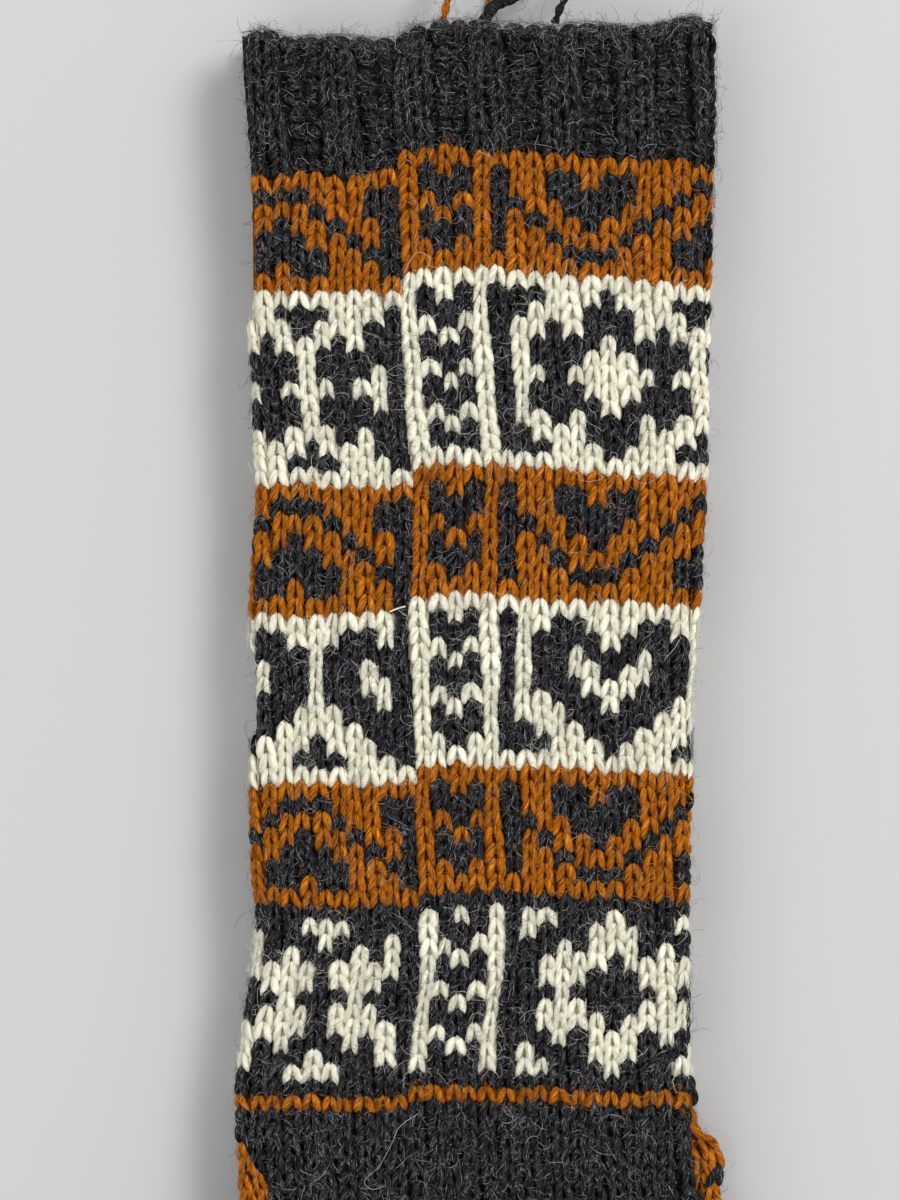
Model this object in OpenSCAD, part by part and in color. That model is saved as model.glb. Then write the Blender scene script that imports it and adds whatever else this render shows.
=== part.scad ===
// A pair of long-cuffed knitted mittens, one lying flat on the other.
// Each mitten is one tube of knitting, worked from the cuff down to the fingertips, and every
// yarn section of that tube is a node of its own. The lower mitten lies on z = 0. +Y points to
// the cuffs and +X to the lower mitten's thumb.

/* [Mitten] */
// Width of the mitten lying flat
flat_w = 94; // [84:1:104]
// Thickness of the flattened tube, both layers of fabric and the space between them
flat_t = 10; // [9.4:0.1:12]
// Thickness of one layer of stranded knitting
wall = 2.2; // [1.6:0.1:2.4]

/* [Sections along the tube, from the cuff down] */
// Rolled edge where the knitting was cast on
cast_on_len = 3; // [2:0.5:4]
// Ribbed cuff below that edge
rib_len = 24; // [18:1:30]
// First rust band, with small hearts
rust_1_len = 26; // [20:1:32]
// Cream band with dark flowers
flower_len = 41; // [34:1:48]
// Second rust band
rust_2_len = 27; // [20:1:32]
// Cream band with dark hearts
heart_len = 35; // [28:1:42]
// Third rust band
rust_3_len = 27; // [20:1:32]
// Dark band with cream flowers
dark_flower_len = 40; // [34:1:48]
// Single rust round at the wrist
stripe_len = 5; // [4:0.5:7]
// Plain hand, from the wrist to where the fingertip starts to round
hand_len = 140; // [130:1:150]

/* [Thumb] */
// Width of the thumb lying flat
thumb_w = 28; // [24:1:30]
// Straight part of the thumb, before its round tip
thumb_len = 48; // [40:1:56]
// Part of that length above the tip's own section
thumb_tip_len = 12; // [8:1:16]
// Angle between the thumb and the hand
thumb_lean = 30; // [26:1:36]
// Angle by which the upper thumb hangs down to the table
thumb_droop = 6; // [4:0.5:6]
// How far the thumb swings outward
thumb_swing = 30; // [20:1:35]
// Gap between the thumb and the gusset that it turns in
thumb_gap = 0.5; // [0.4:0.1:0.8]

/* [Gusset] */
// Distance from the wrist stripe to the first gusset stitch
gusset_start = 6; // [4:1:10]
// Width of the gusset on the hand's face where it has opened
gusset_open_w = 7; // [5:0.5:8]
// Distance over which it opens to that width
gusset_open_len = 12; // [10:1:16]

/* [Pair] */
// Sideways distance between the two mittens' centre lines
pair_shift = 1.5; // [0:0.1:3]
// Gap between the lower mitten's top and the upper mitten
pair_gap = 0.8; // [0.7:0.1:1.5]

/* [Yarn tails] */
// Diameter of the rust and the thinner charcoal tail
tail_d = 1.8; // [1.4:0.1:2]
// Diameter of the thick charcoal tail, an untwisted end
thick_tail_d = 2.8; // [2.2:0.1:3]

/* [Hidden] */

$fn = 96;
CHARCOAL = [0.17, 0.17, 0.18];
RUST = [0.68, 0.36, 0.10];
CREAM = [0.86, 0.84, 0.76];

// Where each section starts, measured down the tube from the cast-on edge
rib_at = cast_on_len;
rust_1_at = rib_at + rib_len;
flower_at = rust_1_at + rust_1_len;
rust_2_at = flower_at + flower_len;
heart_at = rust_2_at + rust_2_len;
rust_3_at = heart_at + heart_len;
dark_flower_at = rust_3_at + rust_3_len;
stripe_at = dark_flower_at + dark_flower_len;
hand_at = stripe_at + stripe_len;
tip_at = hand_at + hand_len;
total_len = tip_at + flat_w / 2;
top_y = total_len / 2;

// The gusset's edge on the hand's face runs gusset_root, gusset_knee, crotch, and the thumb
// turns about thumb_pivot. All four are [x, distance down from the cast-on edge].
gusset_root = [-flat_w / 2, hand_at + gusset_start];
gusset_knee = [gusset_root[0] + gusset_open_w, gusset_root[1] + gusset_open_len];
thumb_r = thumb_w / 2;
thumb_pivot = [-flat_w / 2 - thumb_r / 2, hand_at + 56];
crotch = [thumb_pivot[0] + thumb_r - 1, thumb_pivot[1] + 4];
seat_r = thumb_r + thumb_gap;
upper_z = flat_t + pair_gap;

function down(p) = [p[0], top_y - p[1]];

// One mitten is drawn with its thumb at -X, lying on z = 0, and is then placed
module upper() {
    translate([-pair_shift / 2, 0, upper_z]) children();
}

module lower() {
    translate([pair_shift / 2, 0, 0]) mirror([1, 0, 0]) children();
}

// Outline of a flattened tube seen along its length, standing on y = 0
module stadium(w, t) {
    translate([-(w - t) / 2, 0]) square([w - t, t]);
    for (side = [-1, 1]) translate([side * (w - t) / 2, t / 2]) circle(d = t);
}

module tube_section(w) {
    difference() {
        stadium(w, flat_t);
        translate([0, wall]) stadium(w - 2 * wall, flat_t - 2 * wall);
    }
}

// A length of flattened tube that starts at y = 0 and runs towards -Y
module flat_tube(w, length) {
    rotate([90, 0, 0]) linear_extrude(length) tube_section(w);
}

module band(at, length) {
    translate([0, top_y - at, 0]) flat_tube(flat_w, length);
}

// The round closed end of a flattened tube, bulging towards -Y
module round_end(w) {
    rotate([0, 0, 180]) rotate_extrude(angle = 180) intersection() {
        tube_section(w);
        square([w, flat_t]);
    }
}

// The thumb's own frame: its base circle is centred on the origin and it points to -Y
module at_thumb(swing = 0) {
    translate(concat(down(thumb_pivot), 0)) rotate([0, 0, -thumb_lean - swing]) children();
}

// The upper thumb overhangs the lower mitten and sinks towards the table
module drooped() {
    at_thumb() rotate([thumb_droop, 0, 0]) children();
}

// The space that the thumb needs, over its whole swing
module thumb_room() {
    for (swing = [0, thumb_swing / 2, thumb_swing]) at_thumb(swing) translate([0, 0, -1]) {
        cylinder(r = seat_r, h = flat_t + 2);
        translate([-seat_r, -thumb_len, 0]) cube([2 * seat_r, thumb_len, flat_t + 2]);
    }
}

module gusset_outline() {
    polygon([down(gusset_root), down(gusset_knee), down(crotch), down(thumb_pivot),
        down(gusset_outer())]);
}

// The gusset's outer corner, where its outer edge meets the side of the thumb's base
function gusset_outer() = [thumb_pivot[0] - seat_r * cos(thumb_lean),
    thumb_pivot[1] - seat_r * sin(thumb_lean)];

module cast_on_edge() {
    color(CHARCOAL) band(0, cast_on_len);
}

module ribbed_cuff() {
    color(CHARCOAL) band(rib_at, rib_len);
}

module rust_band_1() {
    color(RUST) band(rust_1_at, rust_1_len);
}

module flower_band() {
    color(CREAM) band(flower_at, flower_len);
}

module rust_band_2() {
    color(RUST) band(rust_2_at, rust_2_len);
}

module heart_band() {
    color(CREAM) band(heart_at, heart_len);
}

module rust_band_3() {
    color(RUST) band(rust_3_at, rust_3_len);
}

module dark_flower_band() {
    color(CHARCOAL) band(dark_flower_at, dark_flower_len);
}

module wrist_stripe() {
    color(RUST) band(stripe_at, stripe_len);
}

// The hand is open on its thumb side where the gusset is knitted in
module hand() {
    color(CHARCOAL) difference() {
        band(hand_at, hand_len);
        translate([0, 0, -1]) linear_extrude(flat_t + 2) polygon([
            down([-flat_w, gusset_root[1]]), down(gusset_root), down(gusset_knee), down(crotch),
            down([-flat_w, crotch[1]])]);
        thumb_room();
    }
}

module fingertip() {
    color(CHARCOAL) translate([0, top_y - tip_at, 0]) round_end(flat_w);
}

// Two layers joined along the gusset's outer edge, with a round seat for the thumb's base
module thumb_gusset() {
    edge_in = [wall, 0];
    color(RUST) difference() {
        union() {
            for (z = [0, flat_t - wall]) translate([0, 0, z]) linear_extrude(wall) gusset_outline();
            linear_extrude(flat_t) intersection() {
                gusset_outline();
                polygon([down(gusset_root), down(gusset_root + edge_in),
                    down(gusset_outer() + edge_in), down(gusset_outer())]);
            }
        }
        thumb_room();
    }
}

// The thumb's tube, with half-round flaps at its base that lie in the gusset's seat
module thumb() {
    color(RUST) {
        flat_tube(thumb_w, thumb_len - thumb_tip_len);
        for (z = [0, flat_t - wall]) translate([0, 0, z])
            rotate_extrude(angle = 180) square([thumb_r, wall]);
    }
}

module thumb_tip() {
    color(CHARCOAL) {
        translate([0, -(thumb_len - thumb_tip_len), 0]) flat_tube(thumb_w, thumb_tip_len);
        translate([0, -thumb_len, 0]) round_end(thumb_w);
    }
}

// Yarn tails: each route is a smooth curve through points chosen by hand, from the cast-on
// edge down onto the table in front of the cuffs
edge_y = top_y + 0.6;
RUST_ROUTE = [[-8, edge_y, 18.6], [-7.2, 212, 17.4], [-6.5, 217.5, 11.2], [-6.2, 223, 5],
    [-5.8, 229, 1.8], [-5, 236, 1.1], [-3.4, 243, 1.1], [-0.6, 248.5, 1.1], [3, 250, 1.1],
    [6.2, 247.5, 1.1], [7, 242, 1.1], [5.4, 232, 1.1], [3.2, 221.5, 1.1], [1.8, 212.6, 1.1]];
THICK_ROUTE = [[0.4, edge_y, 18.4], [3, 211.8, 18], [8.4, 215, 13.5], [11.8, 218, 9],
    [14.2, 222.5, 4.6], [15.6, 228.5, 1.9], [16.6, 235, 1.5], [18.6, 241.5, 1.5],
    [22.6, 247, 1.5], [28.4, 249.6, 1.5], [34.6, 249, 1.5], [41.4, 245, 1.5],
    [47.6, 236, 1.5]];
CHARCOAL_ROUTE = [[15.4, edge_y, 18.6], [16.8, 212, 17], [19.4, 217.5, 10.8], [22.4, 223, 4.6],
    [25.6, 228, 1.6], [29.4, 233, 1.1], [34, 236, 1.1], [38.6, 235.4, 1.1], [41.6, 231.6, 1.1],
    [43.4, 226.6, 1.1], [47, 222.6, 1.1], [52, 222, 1.1], [57.6, 225.8, 1.1], [62, 234.6, 1.1]];
TAIL_SIDES = 8;
TAIL_STEPS = 2;

// A Catmull-Rom point between p[1] and p[2]
function curve_point(p, u) = 0.5 * (2 * p[1] + (p[2] - p[0]) * u
    + (2 * p[0] - 5 * p[1] + 4 * p[2] - p[3]) * u * u
    + (3 * p[1] - p[0] - 3 * p[2] + p[3]) * u * u * u);

function smooth_route(r) = let (last = len(r) - 1) [
    for (i = [0:last - 1]) for (k = [0:TAIL_STEPS - 1]) curve_point([r[max(i - 1, 0)], r[i],
        r[i + 1], r[min(i + 2, last)]], k / TAIL_STEPS), r[last]];

function unit(v) = v / norm(v);

// One ring of points round the centre line, square to its direction
function ring(p, dir, r) = let (side = unit(cross(dir, [0, 0, 1])), up = cross(side, dir))
    [for (k = [0:TAIL_SIDES - 1]) let (a = 360 * k / TAIL_SIDES)
        p + r * (cos(a) * side + sin(a) * up)];

module tail(route, d) {
    path = smooth_route(route);
    last = len(path) - 1;
    rings = [for (i = [0:last])
        ring(path[i], unit(path[min(i + 1, last)] - path[max(i - 1, 0)]), d / 2)];
    points = [for (r = rings) for (p = r) p];
    sides = [for (i = [0:last - 1]) for (k = [0:TAIL_SIDES - 1])
        let (next = (k + 1) % TAIL_SIDES, at = i * TAIL_SIDES)
        [at + k, at + TAIL_SIDES + k, at + TAIL_SIDES + next, at + next]];
    start_cap = [for (k = [0:TAIL_SIDES - 1]) k];
    end_cap = [for (k = [TAIL_SIDES - 1:-1:0]) last * TAIL_SIDES + k];
    polyhedron(points, concat([start_cap, end_cap], sides));
}

module rust_tail() {
    color(RUST) tail(RUST_ROUTE, tail_d);
}

module thick_tail() {
    color(CHARCOAL) tail(THICK_ROUTE, thick_tail_d);
}

module charcoal_tail() {
    color(CHARCOAL) tail(CHARCOAL_ROUTE, tail_d);
}

upper() cast_on_edge();  // upper_cast_on_edge
upper() ribbed_cuff();  // upper_ribbed_cuff
upper() rust_band_1();  // upper_rust_band_1
upper() flower_band();  // upper_flower_band
upper() rust_band_2();  // upper_rust_band_2
upper() heart_band();  // upper_heart_band
upper() rust_band_3();  // upper_rust_band_3
upper() dark_flower_band();  // upper_dark_flower_band
upper() wrist_stripe();  // upper_wrist_stripe
upper() hand();  // upper_hand
upper() fingertip();  // upper_fingertip
upper() thumb_gusset();  // upper_thumb_gusset
upper() drooped() thumb();  // upper_thumb
upper() drooped() thumb_tip();  // upper_thumb_tip

lower() cast_on_edge();  // lower_cast_on_edge
lower() ribbed_cuff();  // lower_ribbed_cuff
lower() rust_band_1();  // lower_rust_band_1
lower() flower_band();  // lower_flower_band
lower() rust_band_2();  // lower_rust_band_2
lower() heart_band();  // lower_heart_band
lower() rust_band_3();  // lower_rust_band_3
lower() dark_flower_band();  // lower_dark_flower_band
lower() wrist_stripe();  // lower_wrist_stripe
lower() hand();  // lower_hand
lower() fingertip();  // lower_fingertip
lower() thumb_gusset();  // lower_thumb_gusset
lower() at_thumb() thumb();  // lower_thumb
lower() at_thumb() thumb_tip();  // lower_thumb_tip

rust_tail();
thick_tail();
charcoal_tail();
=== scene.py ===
"""Looks of a pair of long-cuffed mittens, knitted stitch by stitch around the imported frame.

Each mitten is a flattened tube of knitting. Its columns are counted round the tube from the left
fold, over the front and back round behind, and its rows are counted down from the cast-on edge.
Lengths here are in millimetres until a mesh is built.
"""

import math

import bpy
import numpy as np
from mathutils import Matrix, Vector


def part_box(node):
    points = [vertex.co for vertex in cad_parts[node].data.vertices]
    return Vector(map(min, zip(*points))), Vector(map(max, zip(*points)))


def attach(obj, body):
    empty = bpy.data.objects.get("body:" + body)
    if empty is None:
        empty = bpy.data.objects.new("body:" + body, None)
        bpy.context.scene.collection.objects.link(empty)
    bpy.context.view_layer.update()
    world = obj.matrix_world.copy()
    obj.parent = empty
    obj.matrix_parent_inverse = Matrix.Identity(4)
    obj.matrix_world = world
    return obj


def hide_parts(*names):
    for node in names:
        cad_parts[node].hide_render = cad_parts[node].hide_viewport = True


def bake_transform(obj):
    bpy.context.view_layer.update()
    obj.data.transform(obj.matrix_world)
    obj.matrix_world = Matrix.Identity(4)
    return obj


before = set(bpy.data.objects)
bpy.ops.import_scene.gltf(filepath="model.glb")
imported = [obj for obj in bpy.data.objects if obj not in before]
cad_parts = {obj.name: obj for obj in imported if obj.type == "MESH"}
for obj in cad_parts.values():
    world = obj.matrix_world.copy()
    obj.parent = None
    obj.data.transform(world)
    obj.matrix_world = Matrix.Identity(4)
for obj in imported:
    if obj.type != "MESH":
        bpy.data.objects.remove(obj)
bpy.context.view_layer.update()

MM = 0.001
UP = (0, 0, 1.0)
rng = np.random.default_rng(11)


# ------------------------------------------------------------------ the frame's own sizes
def node_span(node):
    """Lowest and highest Y of a CAD node, in millimetres."""
    low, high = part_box(node)
    return low.y / MM, high.y / MM


TOP_Y = node_span("upper_cast_on_edge")[1]
LAYER_T = (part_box("lower_hand")[1].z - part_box("lower_hand")[0].z) / MM
UPPER_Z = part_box("upper_hand")[0].z / MM


# ------------------------------------------------------------------ camera, floor and light
def new_object(name, data):
    """A new object of this data, linked into the scene."""
    made = bpy.data.objects.new(name, data)
    bpy.context.scene.collection.objects.link(made)
    return made


def add_camera():
    """Straight down on the cuffs and the upper half of the hand."""
    view_height, distance = 0.252, 1.2
    data = bpy.data.cameras.new("camera")
    data.sensor_width = 36
    data.lens = data.sensor_width * distance / view_height
    data.clip_end = 10
    camera = new_object("camera", data)
    camera.location = (-0.0064, 0.0878, UPPER_Z * MM + distance)
    bpy.context.scene.camera = camera


def new_material(name, roughness):
    """A new material with its node tree and its shader."""
    material = bpy.data.materials.new(name)
    material.use_nodes = True
    shader = material.node_tree.nodes["Principled BSDF"]
    shader.inputs["Roughness"].default_value = roughness
    return material, material.node_tree, shader


def add_floor():
    paint, _, shader = new_material("floor_paint", 0.9)
    shader.inputs["Base Color"].default_value = (0.52, 0.525, 0.53, 1)
    mesh = bpy.data.meshes.new("floor")
    half = 3.0
    mesh.from_pydata([(-half, -half, 0), (half, -half, 0), (half, half, 0), (-half, half, 0)], [],
                     [(0, 1, 2, 3)])
    mesh.materials.append(paint)
    new_object("floor", mesh)


LIGHT_TARGET = Vector((0, 0.08, 0))


def add_light(name, place, size, power):
    """A square area light, aimed at the sleeves."""
    data = bpy.data.lights.new(name, "AREA")
    data.size = size
    data.energy = power
    light = new_object(name, data)
    light.location = place
    light.rotation_euler = (LIGHT_TARGET - light.location).to_track_quat("-Z", "Y").to_euler()


def add_lighting():
    world = bpy.data.worlds.new("studio")
    world.use_nodes = True
    background = world.node_tree.nodes["Background"]
    background.inputs["Color"].default_value = (1, 1, 1, 1)
    background.inputs["Strength"].default_value = 0.68
    bpy.context.scene.world = world
    add_light("window", (0.9, 0.9, 1.5), 0.7, 23)
    add_light("fill", (-1.0, -0.4, 1.4), 1.2, 6.5)
    bpy.context.scene.view_settings.view_transform = "Standard"


# ------------------------------------------------------------------ wool materials
# Yarn is unwrapped in its own space: the layer's U runs along the strand and V round it, and each
# strand takes one of CELLS x CELLS cells, so that every cell is a different stretch of the yarn.
CELLS = 8
YARN_UV = "OFBake"


def node_link(tree, source, target, output=0, entry=0):
    tree.links.new(source.outputs[output], target.inputs[entry])


def yarn_space(tree):
    uv = tree.nodes.new("ShaderNodeUVMap")
    uv.uv_map = YARN_UV
    return uv


def yarn_place(tree, uv, along, around):
    """A distance in the yarn's own space, growing at these rates along and round the strand."""
    dot = tree.nodes.new("ShaderNodeVectorMath")
    dot.operation = "DOT_PRODUCT"
    dot.inputs[1].default_value = (along * CELLS, around * CELLS, 0)
    node_link(tree, uv, dot)
    return dot.outputs["Value"]


def yarn_noise(tree, along, around, detail, offset=0.0, twist=0.0):
    """Noise in the yarn's own space, stretched along the strand, or along a helix when twisted."""
    uv = yarn_space(tree)
    place = tree.nodes.new("ShaderNodeCombineXYZ")
    tree.links.new(yarn_place(tree, uv, along, 0), place.inputs[0])
    tree.links.new(yarn_place(tree, uv, twist * around, around), place.inputs[1])
    mapping = tree.nodes.new("ShaderNodeMapping")
    mapping.inputs["Location"].default_value = (offset, offset, 0)
    noise = tree.nodes.new("ShaderNodeTexNoise")
    noise.noise_dimensions = "2D"
    noise.inputs["Scale"].default_value = 1.0
    noise.inputs["Detail"].default_value = detail
    noise.inputs["Roughness"].default_value = 0.6
    node_link(tree, place, mapping)
    node_link(tree, mapping, noise)
    return noise


def colour_ramp(tree, stops):
    ramp = tree.nodes.new("ShaderNodeValToRGB")
    elements = ramp.color_ramp.elements
    while len(elements) < len(stops):
        elements.new(0.5)
    for element, (position, colour) in zip(elements, stops):
        element.position = position
        element.color = (*colour, 1)
    return ramp


PLIES = 2
PLY_TURNS = 1.5
PLY_DEPTH = 0.35
# How far round the strand its fibres turn along one leg of a stitch
FIBRE_TWIST = 0.75
BRIGHT_PATCH = 1.15


def ply_height(tree):
    """Height of a two-ply twist: a sine that turns round the strand as it runs along it."""
    sine = tree.nodes.new("ShaderNodeMath")
    sine.operation = "SINE"
    turns = yarn_place(tree, yarn_space(tree), 2 * math.pi * PLY_TURNS, 2 * math.pi * PLIES)
    tree.links.new(turns, sine.inputs[0])
    return sine


def wool(name, stops, sheen, sheen_tint, specular=0.1, bump=0.0004, patchy=0.28):
    """Plied woollen yarn: streaks along the strand, a ply twist and loose fibres. The streaks are
    partly the yarn's heather and partly painted shade between its fibres, in their darkest stops.
    """
    material, tree, shader = new_material(name, 0.85)
    shader.inputs["Specular IOR Level"].default_value = specular
    shader.inputs["Sheen Weight"].default_value = sheen
    shader.inputs["Sheen Roughness"].default_value = 0.45
    shader.inputs["Sheen Tint"].default_value = (*sheen_tint, 1)
    # Streaks: heathered colour, with painted shade between the fibres in the ramp's darkest stops
    streaks = yarn_noise(tree, 1.6, 15, 3, twist=FIBRE_TWIST)
    ramp = colour_ramp(tree, stops)
    node_link(tree, streaks, ramp)
    patches = yarn_noise(tree, 0.9, 1.1, 1, offset=7.3)
    tone = colour_ramp(tree, [(0.3, [1 - patchy] * 3), (0.7, [BRIGHT_PATCH] * 3)])
    node_link(tree, patches, tone)
    mix = tree.nodes.new("ShaderNodeMix")
    mix.data_type = "RGBA"
    mix.blend_type = "MULTIPLY"
    mix.inputs["Factor"].default_value = 1
    tree.links.new(ramp.outputs[0], mix.inputs["A"])
    tree.links.new(tone.outputs[0], mix.inputs["B"])
    tree.links.new(mix.outputs["Result"], shader.inputs["Base Color"])
    plies = ply_height(tree)
    height = tree.nodes.new("ShaderNodeMath")
    height.operation = "MULTIPLY_ADD"
    height.inputs[1].default_value = PLY_DEPTH
    tree.links.new(plies.outputs[0], height.inputs[0])
    fine = yarn_noise(tree, 2, 17, 3, offset=3.1, twist=FIBRE_TWIST)
    tree.links.new(fine.outputs[0], height.inputs[2])
    bumps = tree.nodes.new("ShaderNodeBump")
    bumps.inputs["Distance"].default_value = bump
    bumps.inputs["Strength"].default_value = 1
    tree.links.new(height.outputs[0], bumps.inputs["Height"])
    tree.links.new(bumps.outputs[0], shader.inputs["Normal"])
    return material


def fibre(name, stops):
    """A single loose fibre's finish: its tone changes from fibre to fibre."""
    material, tree, shader = new_material(name, 0.7)
    shader.inputs["Specular IOR Level"].default_value = 0.15
    tones = yarn_noise(tree, 1.3, 1.3, 2)
    ramp = colour_ramp(tree, stops)
    node_link(tree, tones, ramp)
    node_link(tree, ramp, shader)
    return material


def grey(value, warmth=1.0):
    """A grey, a little bluer than neutral at a warmth of 1."""
    return value, value * 0.985, value * 1.06 * warmth


# The darkest stops of each yarn's ramp are painted shade between its fibres; the lighter stops are
# its heather.
YARNS = {
    "charcoal": wool("charcoal_yarn", [(0.30, grey(0.003)), (0.48, grey(0.012)), (0.58, grey(0.03)),
                                       (0.72, grey(0.13))], 0.02, grey(0.5), specular=0.03),
    "rust": wool("rust_yarn", [(0.28, (0.11, 0.020, 0.001)), (0.42, (0.36, 0.092, 0.003)),
                               (0.54, (0.56, 0.168, 0.007)), (0.71, (0.82, 0.34, 0.045))],
                 0.03, (1.0, 0.5, 0.2), specular=0.06),
    "cream": wool("cream_yarn", [(0.26, (0.66, 0.59, 0.40)), (0.37, (0.94, 0.90, 0.70)),
                                 (0.50, (1.0, 0.97, 0.80)), (0.75, (1.0, 0.99, 0.86))],
                  0.08, (1.0, 0.97, 0.9), patchy=0.12),
}
FIBRES = {
    "charcoal": fibre("charcoal_fibre", [(0.36, grey(0.012)), (0.48, grey(0.060)),
                                         (0.58, grey(0.21)), (0.71, grey(0.65))]),
    "rust": fibre("rust_fibre", [(0.38, (0.10, 0.02, 0.001)), (0.48, (0.45, 0.12, 0.004)),
                                 (0.58, (0.75, 0.25, 0.012)), (0.7, (0.92, 0.45, 0.10))]),
    "cream": fibre("cream_fibre", [(0.35, (0.60, 0.56, 0.42)), (0.45, (0.85, 0.82, 0.66)),
                                   (0.7, (0.95, 0.94, 0.84))]),
}
# Backings and tiles behind the stitches: the fabric inside, in darker tones of each yarn, which is
# painted shade in the gaps between the stitches.
SHADED_BACKINGS = {
    "charcoal": wool("charcoal_backing", [(0.3, grey(0.003)), (0.7, grey(0.012))], 0, grey(0.5),
                     specular=0.03),
    "rust": wool("rust_backing", [(0.3, (0.10, 0.025, 0.001)), (0.7, (0.26, 0.07, 0.003))],
                 0, (0.9, 0.55, 0.3), specular=0.03),
    "cream": wool("cream_backing", [(0.3, (0.72, 0.65, 0.46)), (0.7, (0.95, 0.90, 0.72))],
                  0, (1.0, 0.97, 0.9), specular=0.05),
}


# ------------------------------------------------------------------ meshes
MAX_TRIANGLES = 190000
# How much of its UV cell a strand fills
CELL_FILL = 0.98


def build(name, points, triangles, uv, material, body, replaces=()):
    """One piece from arrays: points in millimetres, triangles and a UV for each of their corners."""
    mesh = bpy.data.meshes.new(name)
    mesh.vertices.add(len(points))
    mesh.vertices.foreach_set("co", (points * MM).astype(np.float32).ravel())
    mesh.loops.add(triangles.size)
    mesh.loops.foreach_set("vertex_index", triangles.astype(np.int32).ravel())
    mesh.polygons.add(len(triangles))
    mesh.polygons.foreach_set("loop_start", np.arange(0, triangles.size, 3, dtype=np.int32))
    mesh.polygons.foreach_set("use_smooth", np.ones(len(triangles), bool))
    layer = mesh.uv_layers.new(name=YARN_UV)
    layer.data.foreach_set("uv", uv.astype(np.float32).ravel())
    mesh.update(calc_edges=True)
    mesh.materials.append(material)
    piece = new_object(name, mesh)
    if isinstance(body, tuple):
        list(body)
        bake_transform(piece)
    else:
        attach(piece, body)
    if replaces:
        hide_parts(*replaces)
    return piece


def build_copies(name, verts, template_tris, template_uv, cells, material, body):
    """Pieces made of many like strands. verts is (strands, points, 3); cells picks each one's UV."""
    per_piece = MAX_TRIANGLES // len(template_tris)
    parts = math.ceil(len(verts) / per_piece)
    for part, chunk in enumerate(np.array_split(np.arange(len(verts)), parts)):
        first_point = np.arange(len(chunk)) * verts.shape[1]
        tris = template_tris[None] + first_point[:, None, None]
        corner = np.stack([cells[chunk] % CELLS, cells[chunk] // CELLS], -1) / CELLS
        uv = template_uv[None] * (CELL_FILL / CELLS) + corner[:, None, None, :]
        label = name if parts == 1 else f"{name}_{part + 1}"
        build(label, verts[chunk].reshape(-1, 3), tris.reshape(-1, 3), uv.reshape(-1, 2),
              material, body)


def tube_faces(stations, sides):
    """Triangles and corner UVs of a closed tube whose first and last stations are single points.
    U runs along the tube from 0 to 1 and V round it."""
    tris, uvs = [], []

    def ring(station, side):
        return 1 + (station - 1) * sides + side % sides

    last = 1 + (stations - 2) * sides
    for k in range(sides):
        v0, v1 = k / sides, (k + 1) / sides
        first_u, last_u = 1 / (stations - 1), (stations - 2) / (stations - 1)
        tris.append((0, ring(1, k + 1), ring(1, k)))
        uvs.append(((0, (v0 + v1) / 2), (first_u, v1), (first_u, v0)))
        tris.append((last, ring(stations - 2, k), ring(stations - 2, k + 1)))
        uvs.append(((1, (v0 + v1) / 2), (last_u, v0), (last_u, v1)))
        for i in range(1, stations - 2):
            u0, u1 = i / (stations - 1), (i + 1) / (stations - 1)
            a, b, c, d = ring(i, k), ring(i, k + 1), ring(i + 1, k + 1), ring(i + 1, k)
            tris += [(a, b, c), (a, c, d)]
            uvs += [((u0, v0), (u0, v1), (u1, v1)), ((u0, v0), (u1, v1), (u1, v0))]
    return np.array(tris), np.array(uvs)


def unit(vectors, least=0.0):
    """The same vectors one long. least, added to each length, keeps a zero one finite."""
    return vectors / (np.linalg.norm(vectors, axis=-1, keepdims=True) + least)


def line_frame(line, out=UP, least=0.0):
    """Unit vectors along lines of points, beside them, and up from them on the out side."""
    direction = unit(np.gradient(line, axis=-2), least)
    side = unit(np.cross(direction, out), least)
    return direction, side, np.cross(side, direction)


def strand(line, radii, sides, flat=1.0, out=UP, least=0.0):
    """Points of tubes about centre lines of (..., station, 3), each closed to a point at its ends."""
    _, side, up = line_frame(line, out, least)
    points = [line[..., 0, :]]
    for i in range(1, line.shape[-2] - 1):
        for k in range(sides):
            angle = 2 * math.pi * k / sides
            ring = math.cos(angle) * side[..., i, :] + flat * math.sin(angle) * up[..., i, :]
            points.append(line[..., i, :] + radii[..., i, None] * ring)
    points.append(line[..., -1, :])
    return np.stack(points, -2)


# ------------------------------------------------------------------ stitch shapes
STITCH_W = 3.62
ROW_H = 3.23
LEG_STATIONS = 8
LEG_SIDES = 6
LEG_TRIS, LEG_UV = tube_faces(LEG_STATIONS, LEG_SIDES)
SHAPES = 6


def leg_path(t, side, lean=0.0, lift=0.0):
    """Middle line of a knit stitch's leg. Its foot, at the bottom and near the column's edge, tucks
    under the next row, and its head, at the top and near the column's middle, lies over the row
    before."""
    x = side * (1.42 - 1.14 * t + 0.16 * np.sin(math.pi * t) + lean * (t - 0.5))
    y = -2.75 + 5.15 * t
    z = -0.95 + 0.55 * t + (1.30 + lift) * np.sin(math.pi * (0.06 + 0.86 * t)) ** 0.9
    return x, y, z


def leg(side, plump, lean, lift):
    """One leg of a knit stitch, side -1 or 1, thick in the middle and blunt at its ends."""
    t = np.linspace(0, 1, LEG_STATIONS)
    x, y, z = leg_path(t, side, lean, lift)
    blunt = np.minimum(1, np.sin(math.pi * (0.04 + 0.90 * t)) / 0.72) ** 0.7
    radii = 0.70 * plump * blunt * (1.06 - 0.14 * t)
    return strand(np.stack([x, y, z], -1), radii, LEG_SIDES, flat=0.85)


def knit_shapes(seed, bulk):
    """Several versions of a knit stitch's two legs."""
    draw = np.random.default_rng(seed)
    versions = []
    for _ in range(SHAPES):
        versions.append([leg(side, bulk * draw.uniform(0.90, 1.10), draw.uniform(-0.2, 0.2),
                             draw.uniform(-0.12, 0.2)) for side in (-1, 1)])
    return versions


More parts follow.
